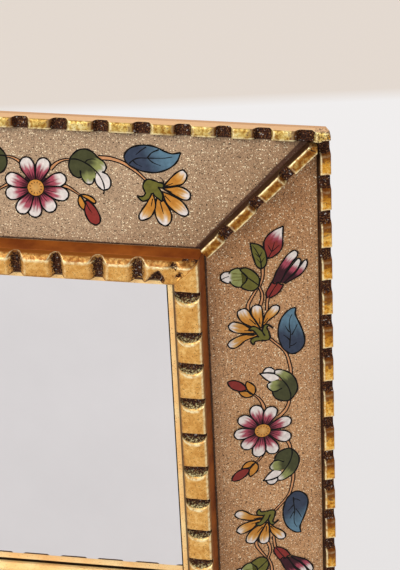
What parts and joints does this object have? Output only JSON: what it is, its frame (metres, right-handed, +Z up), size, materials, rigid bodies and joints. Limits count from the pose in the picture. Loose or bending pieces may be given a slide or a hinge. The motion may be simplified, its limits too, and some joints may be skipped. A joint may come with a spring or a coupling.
{
  "type": "wall mirror",
  "caption": "Rectangular wall mirror in a gilt notched frame with sloping painted glass panels, hung by wire rings on its back.",
  "frame": {"origin": "middle of the wall plane behind the frame", "axes": "+Z up, +Y into the wall, +X to the viewer's right; the mirror faces -Y"},
  "size_m": [0.2494, 0.0379, 0.3044],
  "materials": {
    "rail_wood": "stained and waxed",
    "raw_wood": "raw",
    "gilt_moulding": "metal leaf, antiqued in the notches",
    "gilt_fillet": "metal leaf, toned brown",
    "painted_glass": "reverse painted",
    "mirror_silvered": "silvered",
    "felt": "felt",
    "hardboard": "hardboard",
    "hardware_brass": "satin",
    "hardware_steel": "zinc plated",
    "screw_steel": "zinc plated",
    "bumper_rubber": "matt"
  },
  "bodies": {
    "frame": {"rail_top": "rail_wood", "glass_panel_top": "painted_glass", "edging_top": "gilt_moulding", "sight_fillet_top": "gilt_fillet", "notched_bead_top": "gilt_moulding", "retainer_top": "raw_wood", "rail_right": "rail_wood", "glass_panel_right": "painted_glass", "edging_right": "gilt_moulding", "sight_fillet_right": "gilt_fillet", "notched_bead_right": "gilt_moulding", "retainer_right": "raw_wood", "rail_bottom": "rail_wood", "glass_panel_bottom": "painted_glass", "edging_bottom": "gilt_moulding", "sight_fillet_bottom": "gilt_fillet", "notched_bead_bottom": "gilt_moulding", "retainer_bottom": "raw_wood", "rail_left": "rail_wood", "glass_panel_left": "painted_glass", "edging_left": "gilt_moulding", "sight_fillet_left": "gilt_fillet", "notched_bead_left": "gilt_moulding", "retainer_left": "raw_wood", "mitre_strip_top_right": "gilt_moulding", "mitre_strip_bottom_right": "gilt_moulding", "mitre_strip_bottom_left": "gilt_moulding", "mitre_strip_top_left": "gilt_moulding", "mirror_glass": "mirror_silvered", "cushion_sheet": "felt", "backing_board": "hardboard", "hanger_strap_right": "hardware_steel", "hanger_strap_left": "hardware_steel", "wall_bumpers": "bumper_rubber", "turn_button_screws": "screw_steel", "hanger_screws": "screw_steel"},
    "turn_button_top": {"turn_button_top": "hardware_brass"},
    "turn_button_right": {"turn_button_right": "hardware_brass"},
    "turn_button_bottom": {"turn_button_bottom": "hardware_brass"},
    "turn_button_left": {"turn_button_left": "hardware_brass"},
    "hanger_ring_right": {"hanger_ring_right": "hardware_steel"},
    "hanger_ring_left": {"hanger_ring_left": "hardware_steel"}
  },
  "joints": [
    {"name": "turn_button_top_turn", "type": "hinge", "parent": "frame", "child": "turn_button_top", "pos_m": [0, -0.004, 0.1043], "axis": [0, 1, 0], "continuous": true},
    {"name": "turn_button_right_turn", "type": "hinge", "parent": "frame", "child": "turn_button_right", "pos_m": [0.0768, -0.004, 0], "axis": [0, 1, 0], "continuous": true},
    {"name": "turn_button_bottom_turn", "type": "hinge", "parent": "frame", "child": "turn_button_bottom", "pos_m": [0, -0.004, -0.1043], "axis": [0, 1, 0], "continuous": true},
    {"name": "turn_button_left_turn", "type": "hinge", "parent": "frame", "child": "turn_button_left", "pos_m": [-0.0768, -0.004, 0], "axis": [0, 1, 0], "continuous": true},
    {"name": "hanger_ring_right_swing", "type": "hinge", "parent": "frame", "child": "hanger_ring_right", "pos_m": [0.101, -0.00205, 0.07], "axis": [-1, 0, 0], "range_deg": [0, 180]},
    {"name": "hanger_ring_left_swing", "type": "hinge", "parent": "frame", "child": "hanger_ring_left", "pos_m": [-0.101, -0.00205, 0.07], "axis": [-1, 0, 0], "range_deg": [0, 180]}
  ]
}
